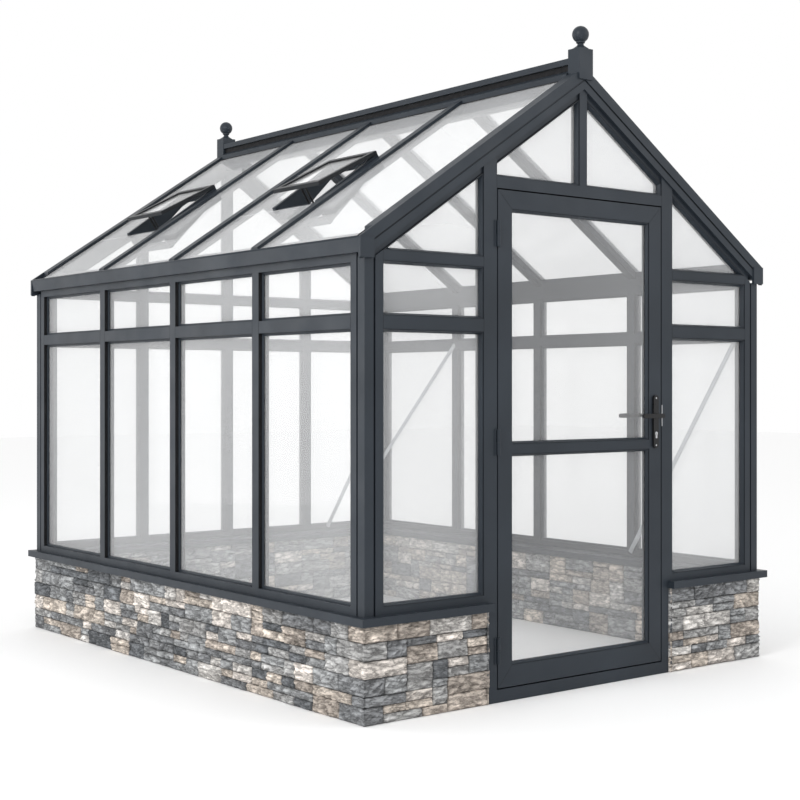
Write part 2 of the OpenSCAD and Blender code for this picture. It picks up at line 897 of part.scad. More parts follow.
module door_hinge_posts() {
  color(frame_colour) for (z = hinge_zs) {
    z0 = z - hinge_h / 2;
    hinge_half(-1, z0, z - knuckle_gap / 2, z0, z0 + hinge_h);
    translate([hinge_x, hinge_y, z0]) cylinder(h = hinge_h, r = pin_r);
  }
}

module door_hinge_leaves() {
  color(frame_colour) for (z = hinge_zs) {
    z1 = z + hinge_h / 2;
    difference() {
      hinge_half(1, z + knuckle_gap / 2, z1, z1 - hinge_h, z1);
      translate([hinge_x, hinge_y, z - hinge_h]) cylinder(h = 2 * hinge_h, r = pin_r + pin_clear);
    }
  }
}

// A hole of radius r for the spindle, right through the door
module spindle_bore(r) {
  translate([lever_x, far / 2, lever_z]) rotate([90, 0, 0]) cylinder(h = far, r = r);
}

module door_leaf() {
  x1 = leaf_x - leaf_stile;
  color(frame_colour) difference() {
    block(-leaf_x, leaf_x, -face_y, leaf_back, leaf_z0, leaf_z1);
    block(-x1, x1, -far, far, leaf_z0 + leaf_bottom, leaf_mid_z - leaf_mid / 2);
    block(-x1, x1, -far, far, leaf_mid_z + leaf_mid / 2, leaf_z1 - leaf_top);
    spindle_bore(spindle_r + leaf_bore_clear);
  }
}

module door_glass() {
  x1 = leaf_x - leaf_stile;
  y0 = leaf_mid_y - glass_t / 2;
  color(glass_colour) {
    block(-x1, x1, y0, y0 + glass_t, leaf_z0 + leaf_bottom, leaf_mid_z - leaf_mid / 2);
    block(-x1, x1, y0, y0 + glass_t, leaf_mid_z + leaf_mid / 2, leaf_z1 - leaf_top);
  }
}

// A handle plate between two Y positions, round at both ends
module handle_plate(y0, y1) {
  r = plate_w / 2;
  difference() {
    union() {
      block(lever_x - r, lever_x + r, y0, y1, lever_z - plate_down + r, lever_z + plate_up - r);
      for (z = [lever_z - plate_down + r, lever_z + plate_up - r])
        translate([lever_x, y1, z]) rotate([90, 0, 0]) cylinder(h = y1 - y0, r = r);
    }
    spindle_bore(spindle_r + spindle_clear);
  }
}

module door_handle_plates() {
  color(handle_colour) {
    handle_plate(-face_y - plate_t, -face_y);
    handle_plate(leaf_back, leaf_back + plate_t);
  }
}

// One lever, reaching from the spindle towards the hinges, its near face at y0
module lever_arm(y0) {
  r = lever_h / 2;
  block(lever_x - lever_l + r, lever_x, y0, y0 + lever_t, lever_z - r, lever_z + r);
  for (x = [lever_x - lever_l + r, lever_x])
    translate([x, y0 + lever_t, lever_z]) rotate([90, 0, 0]) cylinder(h = lever_t, r = r);
}

module door_lever() {
  y0 = -face_y - plate_t - lever_stand - lever_t;
  y1 = leaf_back + plate_t + lever_stand;
  color(handle_colour) {
    lever_arm(y0);
    lever_arm(y1);
    translate([lever_x, y1 + 1, lever_z]) rotate([90, 0, 0]) cylinder(h = y1 - y0, r = spindle_r);
  }
}

stone_wall_left();
stone_wall_right();
stone_wall_back();
stone_piers_front();
sill_left();
sill_right();
sill_back();
sill_front();
corner_posts();
left_wall_frame();
left_wall_transoms();
left_wall_glass();
right_wall_frame();
right_wall_transoms();
right_wall_glass();
back_wall_frame();
back_wall_transoms();
back_wall_glass();
door_posts();
door_lintel();
door_threshold();
king_post();
front_panel_frames();
front_transoms();
front_glass();
front_gable_rafters();
back_gable_rafters();
ridge_beam();
ridge_cap();
ridge_finials();
roof_bars_left();
roof_bars_right();
roof_glass_left();
roof_glass_right();
eaves_gutters();
vent_curbs();
vent_leaf_frames();
vent_glass();
vent_stays();
wall_braces();
door_hinge_posts();
door_hinge_leaves();
door_leaf();
door_glass();
door_handle_plates();
door_lever();
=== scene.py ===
import json
import math
import random

import bmesh
import bpy
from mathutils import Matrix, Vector, noise


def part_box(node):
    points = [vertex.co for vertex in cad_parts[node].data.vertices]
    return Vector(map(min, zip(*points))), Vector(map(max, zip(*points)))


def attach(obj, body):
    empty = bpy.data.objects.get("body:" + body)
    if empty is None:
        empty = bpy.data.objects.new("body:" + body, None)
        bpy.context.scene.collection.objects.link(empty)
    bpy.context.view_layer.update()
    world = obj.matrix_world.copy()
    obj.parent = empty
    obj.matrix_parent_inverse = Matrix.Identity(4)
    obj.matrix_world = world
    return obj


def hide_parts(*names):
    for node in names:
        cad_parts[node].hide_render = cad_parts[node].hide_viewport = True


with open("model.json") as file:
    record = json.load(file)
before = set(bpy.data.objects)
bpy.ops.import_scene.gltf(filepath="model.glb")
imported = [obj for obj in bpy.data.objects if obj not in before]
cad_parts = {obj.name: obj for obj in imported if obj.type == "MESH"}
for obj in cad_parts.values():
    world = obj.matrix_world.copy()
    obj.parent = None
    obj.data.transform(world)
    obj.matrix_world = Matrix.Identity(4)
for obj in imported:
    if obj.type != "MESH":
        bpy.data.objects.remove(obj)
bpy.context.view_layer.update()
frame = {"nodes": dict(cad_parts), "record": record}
scene = bpy.context.scene
nodes = frame["nodes"]

LEFT, RIGHT = Vector((-1, 0, 0)), Vector((1, 0, 0))
FRONT, BACK = Vector((0, -1, 0)), Vector((0, 1, 0))
UP = Vector((0, 0, 1))


# ---- camera, light and floor ----

CAMERA_PLACE = (-4.5635, -5.9963, 1.3074)
CAMERA_PAN = -38.21
CAMERA_LENS = 65.77
CAMERA_SHIFT = -0.016
LIGHT_AIM = Vector((0, 0, 1.2))
LIGHT_SIZE = 4
FLOOR_SIZE = 60
FLOOR_DROP = 0.001


def make_camera():
    data = bpy.data.cameras.new("camera")
    cam = bpy.data.objects.new("camera", data)
    scene.collection.objects.link(cam)
    cam.location = CAMERA_PLACE
    cam.rotation_euler = (math.radians(90), 0, math.radians(CAMERA_PAN))
    data.sensor_width = 36
    data.lens = CAMERA_LENS
    data.shift_y = CAMERA_SHIFT
    data.clip_end = 100
    scene.camera = cam


def area_light(name, location, power):
    data = bpy.data.lights.new(name, "AREA")
    data.shape = "SQUARE"
    data.size = LIGHT_SIZE
    data.energy = power
    lamp = bpy.data.objects.new(name, data)
    scene.collection.objects.link(lamp)
    lamp.location = location
    aim = LIGHT_AIM - Vector(location)
    lamp.rotation_euler = aim.to_track_quat("-Z", "Y").to_euler()


def make_stage():
    world = bpy.data.worlds.new("studio")
    scene.world = world
    world.use_nodes = True
    back = world.node_tree.nodes["Background"]
    back.inputs["Color"].default_value = (1, 1, 1, 1)
    back.inputs["Strength"].default_value = 1.0
    bpy.ops.mesh.primitive_plane_add(size=FLOOR_SIZE, location=(0, 0, -FLOOR_DROP))
    floor = bpy.context.object
    floor.name = "studio_floor"
    shade = Shade("floor", (0.95, 0.95, 0.95), 0.8)
    floor.data.materials.append(shade.mat)
    area_light("key", (-8, -3, 5), 330)
    area_light("fill", (5, -8, 5), 105)
    area_light("side", (-7, 7, 2), 110)
    scene.view_settings.view_transform = "Standard"


# ---- materials ----

NOISE_MIDDLE = 0.5


def srgb(red, green, blue):
    """A colour given in 0 to 255 steps, as the linear values that shaders use."""
    return tuple(c / 3294.6 if c <= 10 else ((c / 255 + 0.055) / 1.055) ** 2.4 for c in (red, green, blue))


class Shade:
    """A Principled material under construction."""

    def __init__(self, name, colour, rough, metal=0.0, specular=0.5):
        self.mat = bpy.data.materials.new(name)
        self.mat.use_nodes = True
        self.tree = self.mat.node_tree
        self.shader = self.tree.nodes["Principled BSDF"]
        self.set("Base Color", (*colour, 1))
        self.set("Roughness", rough)
        self.set("Metallic", metal)
        self.set("Specular IOR Level", specular)
        self.place = self.node("ShaderNodeTexCoord").outputs["Object"]

    def set(self, socket, value):
        self.shader.inputs[socket].default_value = value

    def node(self, kind, **inputs):
        made = self.tree.nodes.new(kind)
        for name, value in inputs.items():
            self.feed(made, name.replace("_", " "), value)
        return made

    def feed(self, node, socket, value):
        if isinstance(value, bpy.types.NodeSocket):
            self.tree.links.new(value, node.inputs[socket])
        else:
            node.inputs[socket].default_value = value

    def noise(self, scale, detail=4.0, rough=0.5, stretch=(1, 1, 1), kind="FBM", turn=0.0):
        """Noise from 0 to 1 over the object's own coordinates."""
        lean = math.radians(turn)
        mapping = self.node("ShaderNodeMapping", Vector=self.place, Rotation=(lean, -lean, 0), Scale=stretch)
        made = self.node("ShaderNodeTexNoise", Vector=mapping.outputs[0], Scale=scale, Detail=detail,
                         Roughness=rough)
        made.noise_type = kind
        return made.outputs[0]

    def furrows(self, width, *args, **kinds):
        """Noise turned into furrows: 0 along its middle contour, 1 away from it."""
        centred = self.node("ShaderNodeMath", Value=self.noise(*args, **kinds))
        centred.operation = "SUBTRACT"
        centred.inputs[1].default_value = NOISE_MIDDLE
        folded = self.node("ShaderNodeMath", Value=centred.outputs[0])
        folded.operation = "ABSOLUTE"
        return self.spread(folded.outputs[0], 0.0, 1.0, 0.0, width)

    def spread(self, value, low, high, start=0.3, end=0.7):
        """Noise stretched from start..end to low..high."""
        made = self.node("ShaderNodeMapRange", Value=value)
        made.clamp = True
        for socket, number in zip(("From Min", "From Max", "To Min", "To Max"), (start, end, low, high)):
            made.inputs[socket].default_value = number
        return made.outputs[0]

    def mix(self, factor, a, b, blend="MIX"):
        made = self.node("ShaderNodeMix")
        made.data_type = "RGBA"
        made.blend_type = blend
        for index, value in ((0, factor), (6, a), (7, b)):
            if isinstance(value, bpy.types.NodeSocket):
                self.tree.links.new(value, made.inputs[index])
            else:
                made.inputs[index].default_value = value
        return made.outputs[2]

    def link(self, socket, value):
        self.tree.links.new(value, self.shader.inputs[socket])

    def bump(self, *layers):
        """Bump from (height, strength, depth in metres) layers, one on the next."""
        normal = None
        for height, strength, depth in layers:
            made = self.node("ShaderNodeBump", Strength=strength, Distance=depth, Height=height)
            if normal:
                self.tree.links.new(normal, made.inputs["Normal"])
            normal = made.outputs[0]
        self.link("Normal", normal)


def powder_coat(name, colour, rough=0.42):
    """Satin powder coat: a fine orange-peel skin, faint clouding and a trace of dust."""
    shade = Shade(name, colour, rough, specular=0.22)
    cloud = shade.spread(shade.noise(2.5, 5), 0.0, 1.0)
    dark = (*[c * 0.86 for c in colour], 1)
    light = (*[c * 1.16 for c in colour], 1)
    tone = shade.mix(cloud, dark, light)
    speck = shade.spread(shade.noise(900, 2), 0.0, 0.25, 0.55, 0.75)
    shade.link("Base Color", shade.mix(speck, tone, (*[c * 1.7 for c in colour], 1)))
    shade.link("Roughness", shade.spread(shade.noise(6, 6, 0.6), rough - 0.06, rough + 0.1))
    shade.bump((shade.noise(700, 2), 0.25, 0.0002))
    return shade.mat


def clear_glass(name, reflection_veil, tint):
    """Glass with a pale veil of painted reflection, a little uneven."""
    shade = Shade(name, (tint, tint * 1.01, tint * 1.02), 0.04)
    cloud = shade.spread(shade.noise(0.9, 3, stretch=(1, 1, 0.35)), reflection_veil * 0.85, reflection_veil * 1.15)
    shade.link("Alpha", cloud)
    shade.link("Roughness", shade.spread(shade.noise(3, 4), 0.03, 0.09))
    return shade.mat


def black_rubber_and_shade():
    # Black for the rubber parts and for the black sheets and strips of painted shade.
    shade = Shade("rubber_and_shade", (0.006, 0.006, 0.007), 0.7, specular=0.25)
    shade.link("Roughness", shade.spread(shade.noise(40, 4), 0.6, 0.8))
    shade.bump((shade.noise(1200, 2), 0.3, 0.0002))
    return shade.mat


def black_satin():
    shade = Shade("black_satin", (0.006, 0.006, 0.007), 0.3, specular=0.3)
    shade.link("Roughness", shade.spread(shade.noise(25, 5), 0.26, 0.42))
    shade.bump((shade.noise(1500, 2), 0.2, 0.0001))
    return shade.mat


def mill_aluminium(name, colour, rough):
    """Extruded aluminium: fine die lines and soft patches of dull oxide."""
    shade = Shade(name, colour, rough, metal=0.85)
    patch = shade.spread(shade.noise(7, 6, 0.6), 0.0, 1.0)
    shade.link("Base Color", shade.mix(patch, (*[c * 0.8 for c in colour], 1), (*colour, 1)))
    lines = shade.noise(300, 3, stretch=(1, 1, 0.03))
    shade.link("Roughness", shade.spread(lines, rough - 0.08, rough + 0.12))
    shade.bump((lines, 0.15, 0.0002))
    return shade.mat


def split_stone():
    """Split-faced ledge stone: each stone's own tone with painted shade and highlight, chiselled aslant,
    mottled and pitted; painted shade darkens the chisel furrows and painted highlight lightens their ridges.
    """
    shade = Shade("split_stone", srgb(150, 146, 141), 0.9, specular=0.15)
    # The tone attribute holds each stone's colour with painted shade and highlight from its relief.
    tone = shade.node("ShaderNodeAttribute")
    tone.attribute_name = "tone"
    colour = tone.outputs["Color"]
    marks = [shade.furrows(0.14, 24, 8, 0.6, stretch=(0.5, 0.5, 1.8), turn=turn) for turn in (34, -38)]
    chisel = shade.mix(tone.outputs["Alpha"], marks[0], marks[1])
    mottle = shade.spread(shade.noise(15, 8, 0.65), 0.0, 1.0)
    colour = shade.mix(mottle, shade.mix(1.0, colour, (0.8, 0.8, 0.81, 1), "MULTIPLY"), colour)
    # Painted shade: the colour darkened along the chisel furrows.
    crevice_shade = shade.spread(chisel, 1.0, 0.0, 0.0, 0.55)
    colour = shade.mix(crevice_shade, colour, shade.mix(1.0, colour, (0.42, 0.42, 0.42, 1), "MULTIPLY"))
    # Painted highlight: the colour lightened on the chisel ridges.
    ridge = shade.spread(chisel, 0.0, 0.5, 0.8, 1.0)
    colour = shade.mix(ridge, colour, shade.mix(1.0, colour, (1.45, 1.45, 1.45, 1), "MULTIPLY"))
    grain = shade.spread(shade.noise(150, 6, 0.75), 0.0, 1.0, 0.35, 0.65)
    colour = shade.mix(grain, shade.mix(1.0, colour, (0.8, 0.79, 0.78, 1), "MULTIPLY"), colour)
    shade.link("Base Color", colour)
    shade.link("Roughness", shade.spread(grain, 0.8, 0.95, 0, 1))
    shade.bump((chisel, 0.8, 0.007), (shade.noise(170, 6, 0.75), 0.6, 0.0018))
    return shade.mat


def dark_mortar():
    shade = Shade("mortar", srgb(56, 54, 52), 0.95, specular=0.1)
    grit = shade.spread(shade.noise(180, 6, 0.7), 0.0, 1.0)
    shade.link("Base Color", shade.mix(grit, (*srgb(42, 40, 39), 1), (*srgb(72, 69, 66), 1)))
    shade.bump((shade.noise(220, 6, 0.7), 0.7, 0.002))
    return shade.mat


make_camera()
make_stage()
coat = powder_coat("frame_coat", (0.021, 0.027, 0.035))
vent_coat = powder_coat("vent_coat", (0.013, 0.015, 0.018), 0.38)
glass = clear_glass("wall_glass", 0.22, 0.82)
roof_pane = clear_glass("roof_glass", 0.3, 0.95)
door_pane = clear_glass("door_glass", 0.11, 0.86)
rubber_and_shade = black_rubber_and_shade()
satin = black_satin()
steel = mill_aluminium("steel", (0.55, 0.56, 0.58), 0.32)
brace_metal = mill_aluminium("brace_metal", (0.5, 0.52, 0.54), 0.4)
stone = split_stone()
mortar = dark_mortar()


# ---- shapes ----

class Shape:
    """Vertices and faces gathered for one mesh piece, with a material number on each face."""

    def __init__(self):
        self.verts = []
        self.faces = []
        self.kinds = []
        self.tones_and_shade = []

    def add(self, verts, faces, kind=0):
        base = len(self.verts)
        self.verts += verts
        self.faces += [tuple(base + i for i in face) for face in faces]
        self.kinds += [kind] * len(faces)

    def block(self, centre, axes, halves, kind=0):
        """A box from its centre, its three unit axes and its three half sizes."""
        corners = []
        for i in (-1, 1):
            for j in (-1, 1):
                for k in (-1, 1):
                    corners.append(centre + axes[0] * halves[0] * i + axes[1] * halves[1] * j
                                   + axes[2] * halves[2] * k)
        faces = [(0, 1, 3, 2), (4, 6, 7, 5), (0, 4, 5, 1), (2, 3, 7, 6), (0, 2, 6, 4), (1, 5, 7, 3)]
        self.add(corners, faces, kind)

    def strip(self, a, b, normal, width, rise, kind=0):
        """A thin strip lying on a surface, from a to b."""
        along = (b - a).normalized()
        across = normal.cross(along)
        axes = (along, across, normal)
        self.block((a + b) / 2, axes, ((b - a).length / 2, width / 2, rise), kind)

    def rings(self, rings, kind=0, closed=False, caps=False):
        """Faces between rings of equal length; closed joins the last ring to the first."""
        count = len(rings[0])
        faces = []
        for r in range(len(rings) if closed else len(rings) - 1):
            here = r * count
            there = (r + 1) % len(rings) * count
            for i in range(count):
                j = (i + 1) % count
                faces.append((here + i, here + j, there + j, there + i))
        if caps:
            faces.append(tuple(reversed(range(count))))
            faces.append(tuple(range((len(rings) - 1) * count, len(rings) * count)))
        self.add([p for ring in rings for p in ring], faces, kind)

    def turned(self, centre, axis, outline, sides=24, kind=0):
        """A turned shape: outline is a list of (radius, height along the axis)."""
        side = axis.orthogonal().normalized()
        other = axis.cross(side)
        rings = []
        for radius, height in outline:
            ring = []
            for i in range(sides):
                turn = 2 * math.pi * i / sides
                rim = side * math.cos(turn) + other * math.sin(turn)
                ring.append(centre + axis * height + rim * radius)
            rings.append(ring)
        self.rings(rings, kind, caps=True)

    def piece(self, name, body, slot, materials, smooth=False, bevel=0.0):
        mesh = bpy.data.meshes.new(name)
        mesh.from_pydata(self.verts, [], self.faces)
        if not self.tones_and_shade:
            face_outwards(mesh)
        for material in materials:
            mesh.materials.append(material)
        mesh.polygons.foreach_set("material_index", self.kinds)
        mesh.polygons.foreach_set("use_smooth", [smooth] * len(self.faces))
        if self.tones_and_shade:
            # The tone attribute carries each stone's colour with its painted shade and highlight.
            layer = mesh.color_attributes.new("tone", "FLOAT_COLOR", "POINT")
            layer.data.foreach_set("color", [c for tone in self.tones_and_shade for c in tone])
        obj = bpy.data.objects.new(name, mesh)
        scene.collection.objects.link(obj)
        if bevel:
            soften(obj, bevel)
        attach(obj, body)
        return obj


def face_outwards(mesh):
    """Closed shapes only: every face turned to look outwards."""
    work = bmesh.new()
    work.from_mesh(mesh)
    bmesh.ops.recalc_face_normals(work, faces=work.faces)
    work.to_mesh(mesh)
    work.free()


def soften(obj, width, segments=2):
    edge = obj.modifiers.new("edge", "BEVEL")
    edge.width = width
    edge.segments = segments
    edge.limit_method = "ANGLE"


# ---- stone walls ----

JOINT = 0.0024
MORTAR_DEPTH = 0.012
SKIRT = 0.016
STEP = 0.0058
INNER_STEP = 0.011
FACE_RELIEF = 0.012
QUOIN_RELIEF = 0.01
PIER_END_FLUSH = 0.006
PROUD_LIMIT = 0.006
MORTAR_COVER = 0.003
MORTAR_TOP_DROP = 0.001
MORTAR_TONE = (0.1, 0.1, 0.1, 1.0)
EDGE_DROP = 0.006
EDGE_WIDTH = 0.008
FOLD_WIDTH = 0.001
FOLD_DROP = 0.002
SHORTEST_END = 0.075
LONGEST_END = 0.26
SAME_PLACE = 1e-6
COURSE_ROWS = (2, 1, 2, 2, 2, 2)
PALETTE = [
    ((150, 152, 153), 20), ((132, 134, 136), 16), ((109, 112, 115), 9), ((168, 168, 167), 12),
    ((202, 192, 181), 13), ((216, 209, 202), 10), ((188, 178, 168), 8), ((170, 161, 152), 5),
    ((204, 201, 197), 9),
]
chance = random.Random(7)


def row_heights(height):
    shares = [chance.uniform(0.82, 1.2) for _ in range(sum(COURSE_ROWS))]
    levels = [0.0]
    for share in shares:
        levels.append(levels[-1] + height * share / sum(shares))
    return levels


wall_low, wall_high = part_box("stone_wall_left")
LEVELS = row_heights(wall_high.z - wall_low.z)
ROWS = len(LEVELS) - 1


def quoin_legs(first_long):
    """For each row, how far the corner stone reaches along the two faces that meet."""
    legs = []
    for index, rows in enumerate(COURSE_ROWS):
        long_leg = chance.uniform(0.17, 0.22)
        short_leg = chance.uniform(0.085, 0.12)
        pair = (long_leg, short_leg) if (index % 2 == 0) == first_long else (short_leg, long_leg)
        legs += [pair] * rows
    return legs


class Course:
    """How far each row of a face is laid, with stones added from the left."""

    def __init__(self, length, left, right):
        self.at = list(left)
        self.end = [length - r for r in right]

    def lay(self):
        """The face's stones as (from, to, lowest row, row above)."""
        stones = []
        while min(a - e for a, e in zip(self.at, self.end)) < -SAME_PLACE:
            stones.append(self.next_stone())
        return stones

    def level_with(self, row, other):
        """Whether two rows are laid equally far and end at the same place."""
        same_start = abs(self.at[row] - self.at[other]) < SAME_PLACE
        return same_start and abs(self.end[row] - self.end[other]) < SAME_PLACE

    def next_stone(self):
        unfinished = [r for r in range(ROWS) if self.at[r] < self.end[r] - SAME_PLACE]
        row = min(unfinished, key=lambda r: self.at[r])
        start = self.at[row]
        top = row + 1
        while top < ROWS and self.level_with(top, row):
            top += 1
        rows = min(top - row, chance.choice((1, 1, 2, 2, 2, 3)))
        longest = {1: 0.21, 2: 0.25, 3: 0.2}[rows]
        width = chance.uniform(0.085 if rows == 1 else 0.1, longest)
        finish = start + width
        for near in (row - 1, row + rows):
            if 0 <= near < ROWS and 0.07 < self.at[near] - start < width * 1.35 and chance.random() < 0.6:
                finish = self.at[near]
        limit = self.end[row]
        if finish > limit - SHORTEST_END:
            finish = limit if limit - start < LONGEST_END else (start + limit) / 2
        for r in range(row, row + rows):
            self.at[r] = finish
        return start, finish, row, row + rows


def pick_tone():
    colours, weights = zip(*PALETTE)
    base = srgb(*chance.choices(colours, weights)[0])
    shift = chance.uniform(1.42, 1.85)
    return tuple(c * shift for c in base)


class StoneGrain:
    """The chiselled relief of one stone, different for each."""

    def __init__(self, depth):
        self.seed = chance.uniform(0, 900)
        self.depth = depth * chance.uniform(0.75, 1.2)
        self.way = chance.choice((0, 1))
        turn = math.radians((1 - 2 * self.way) * chance.uniform(22, 42))
        self.cos, self.sin = math.cos(turn), math.sin(turn)

    def height(self, u, v):
        """Height at u, v metres, in proportion to the depth."""
        a = (u * self.cos + v * self.sin) / 0.05
        b = (v * self.cos - u * self.sin) / 0.017
        broad = noise.noise(Vector((a * 0.5, b * 0.4, self.seed)))
        ridge = 0.35 - abs(noise.noise(Vector((a, b, self.seed + 31)))) * 2.2
        fine = noise.noise(Vector((a * 3.4, b * 2.4, self.seed + 67)))
        return self.depth * (0.7 * broad + 0.8 * ridge + 0.35 * fine - 0.1)


def lay_stone(shape, place, span, levels, step, depth, flush):
    """One stone's face and its sides; place(u, z, out) gives a point on the wall."""
    u0, u1 = span[0] + JOINT / 2, span[1] - JOINT / 2
    z0, z1 = levels[0] + JOINT / 2, levels[1] - JOINT / 2
    across = max(3, round((u1 - u0) / step))
    up = max(3, round((z1 - z0) / step))
    grain = StoneGrain(depth)
    tone = pick_tone()
    rise = chance.uniform(-0.004, 0.002) - flush
    verts, tones_and_shade, grid = [], [], {}
    for j in range(-1, up + 2):
        for i in range(-1, across + 2):
            ci, cj = min(max(i, 0), across), min(max(j, 0), up)
            u = u0 + (u1 - u0) * ci / across
            z = z0 + (z1 - z0) * cj / up
            skirt = (ci, cj) != (i, j)
            edge = min(u - u0, u1 - u, z - z0, z1 - z)
            pull = EDGE_DROP * (1 - min(edge / EDGE_WIDTH, 1)) ** 2
            relief = grain.height(u, z)
            out = -SKIRT if skirt else rise + relief * min(1, 0.4 + edge / 0.012) - pull
            grid[i, j] = len(verts)
            deepest = -SKIRT if skirt else MORTAR_COVER - MORTAR_DEPTH
            verts.append(place(u, z, max(deepest, min(out, PROUD_LIMIT - flush))))
            # Painted shade and highlight: the tone is lighter on high relief, darker in low relief, darker
            # still at the sunken edges, and darkest on the skirt down into the joints.
            shade = 1.0 + 0.42 * relief / grain.depth - (0.45 if skirt else 30 * pull)
            tones_and_shade.append((*[c * max(shade, 0.35) for c in tone], float(grain.way)))
    faces = []
    for j in range(-1, up + 1):
        for i in range(-1, across + 1):
            if (i in (-1, across)) and (j in (-1, up)):
                continue
            faces.append((grid[i, j], grid[i + 1, j], grid[i + 1, j + 1], grid[i, j + 1]))
    shape.add(verts, faces)
    shape.tones_and_shade += tones_and_shade


def flat_face(origin, along, out):
    def place(u, z, rise):
        return origin + along * u + UP * z + out * rise
    return place


def corner_face(corner, first, first_out, second, second_out):
    """A face folded round a corner: u below 0 runs along first, above 0 along second."""
    def place(u, z, rise):
        if abs(u) < FOLD_WIDTH:
            return corner + UP * z + (first_out + second_out) * (rise - FOLD_DROP)
        if u < 0:
            return corner - first * u + UP * z + first_out * rise
        return corner + second * u + UP * z + second_out * rise
    return place


class StoneWall:
    """The stones of one wall node, with its mortar behind them."""

    def __init__(self, node):
        self.node = node
        self.shape = Shape()

    def face(self, origin, along, out, length, left=None, right=None, step=STEP, flush=0.0):
        none = [0.0] * ROWS
        course = Course(length, left or none, right or none)
        place = flat_face(origin, along, out)
        for u0, u1, low, high in course.lay():
            levels = (LEVELS[low], LEVELS[high])
            lay_stone(self.shape, place, (u0, u1), levels, step, FACE_RELIEF, flush)

    def quoins(self, corner, first, first_out, second, second_out, legs):
        place = corner_face(corner, first, first_out, second, second_out)
        start = len(self.shape.faces)
        row = 0
        for rows in COURSE_ROWS:
            levels = (LEVELS[row], LEVELS[row + rows])
            span = (-legs[row][0], legs[row][1])
            lay_stone(self.shape, place, span, levels, STEP, QUOIN_RELIEF, 0.0)
            row += rows
        if second.cross(UP).dot(second_out) < 0:
            self.shape.faces[start:] = [face[::-1] for face in self.shape.faces[start:]]

    def core(self, low, high, sides):
        """The mortar: a block held back from the faces named in sides."""
        low, high = Vector(low), Vector(high)
        for side in sides:
            for axis in range(3):
                if side[axis] < 0:
                    low[axis] += MORTAR_DEPTH
                if side[axis] > 0:
                    high[axis] -= MORTAR_DEPTH
        high.z -= MORTAR_TOP_DROP
        before = len(self.shape.verts)
        self.shape.block((low + high) / 2, (RIGHT, BACK, UP), (high - low) / 2, kind=1)
        self.shape.tones_and_shade += [MORTAR_TONE] * (len(self.shape.verts) - before)

    def finish(self):
        obj = self.shape.piece(self.node + "_stones", "greenhouse", "stone", [stone, mortar], smooth=True)
        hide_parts(self.node)


def build_stone_walls():
    low, high = cad_box("stone_wall_left", "stone_wall_right", "stone_wall_back", "stone_piers_front")
    inner_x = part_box("stone_wall_right")[0].x
    inner_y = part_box("stone_wall_back")[0].y
    foot_x = pier_edge()
    legs = {name: quoin_legs(first) for name, first in
            (("front_left", True), ("front_right", False), ("back_left", False), ("back_right", True))}
    side = {name: [leg[0] for leg in rows] for name, rows in legs.items()}
    gable = {name: [leg[1] for leg in rows] for name, rows in legs.items()}
    length, width = high.y - low.y, high.x - low.x

    left = StoneWall("stone_wall_left")
    left.face(Vector((low.x, high.y, 0)), FRONT, LEFT, length, side["back_left"], side["front_left"])
    left.face(Vector((-inner_x, -inner_y, 0)), BACK, RIGHT, 2 * inner_y, step=INNER_STEP)
    left.quoins(Vector((low.x, low.y, 0)), BACK, LEFT, RIGHT, FRONT, legs["front_left"])
    left.quoins(Vector((low.x, high.y, 0)), FRONT, LEFT, RIGHT, BACK, legs["back_left"])
    left.core((low.x, low.y, 0), (-inner_x, high.y, high.z), (LEFT, RIGHT, FRONT, BACK))
    left.finish()

    right = StoneWall("stone_wall_right")
    right.face(Vector((high.x, low.y, 0)), BACK, RIGHT, length, side["front_right"], side["back_right"])
    right.face(Vector((inner_x, inner_y, 0)), FRONT, LEFT, 2 * inner_y, step=INNER_STEP)
    right.quoins(Vector((high.x, low.y, 0)), BACK, RIGHT, LEFT, FRONT, legs["front_right"])
    right.quoins(Vector((high.x, high.y, 0)), FRONT, RIGHT, LEFT, BACK, legs["back_right"])
    right.core((inner_x, low.y, 0), (high.x, high.y, high.z), (LEFT, RIGHT, FRONT, BACK))
    right.finish()

    back = StoneWall("stone_wall_back")
    back.face(Vector((high.x, high.y, 0)), LEFT, BACK, width, gable["back_right"], gable["back_left"])
    back.face(Vector((-inner_x, inner_y, 0)), RIGHT, FRONT, 2 * inner_x, step=INNER_STEP)
    back.core((-inner_x, inner_y, 0), (inner_x, high.y, high.z), (FRONT, BACK))
    back.finish()

    piers = StoneWall("stone_piers_front")
    run = high.x - foot_x
    piers.face(Vector((low.x, low.y, 0)), RIGHT, FRONT, run, gable["front_left"])
    piers.face(Vector((foot_x, low.y, 0)), RIGHT, FRONT, run, right=gable["front_right"])
    for start in (-foot_x, inner_x):
        piers.face(Vector((start, -inner_y, 0)), LEFT, BACK, inner_x - foot_x, step=INNER_STEP)
    thick = -inner_y - low.y
    ends = {"step": INNER_STEP, "flush": PIER_END_FLUSH}
    piers.face(Vector((-foot_x, low.y, 0)), BACK, RIGHT, thick, **ends)
    piers.face(Vector((foot_x, -inner_y, 0)), FRONT, LEFT, thick, **ends)
    for sign in (-1, 1):
        start, stop = sorted((sign * foot_x, sign * inner_x))
        piers.core((start, low.y, 0), (stop, -inner_y, high.z), (FRONT, BACK, LEFT * sign))
    piers.finish()


def cad_box(*names):
    boxes = [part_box(name) for name in names]
    low = Vector([min(b[0][i] for b in boxes) for i in range(3)])
    high = Vector([max(b[1][i] for b in boxes) for i in range(3)])
    return low, high


def pier_edge():
    """The X at which the front piers end beside the door posts' feet."""
    return min(abs(v.co.x) for v in nodes["stone_piers_front"].data.vertices)


# ---- panes: beads, gaskets and painted shade in the reveals ----

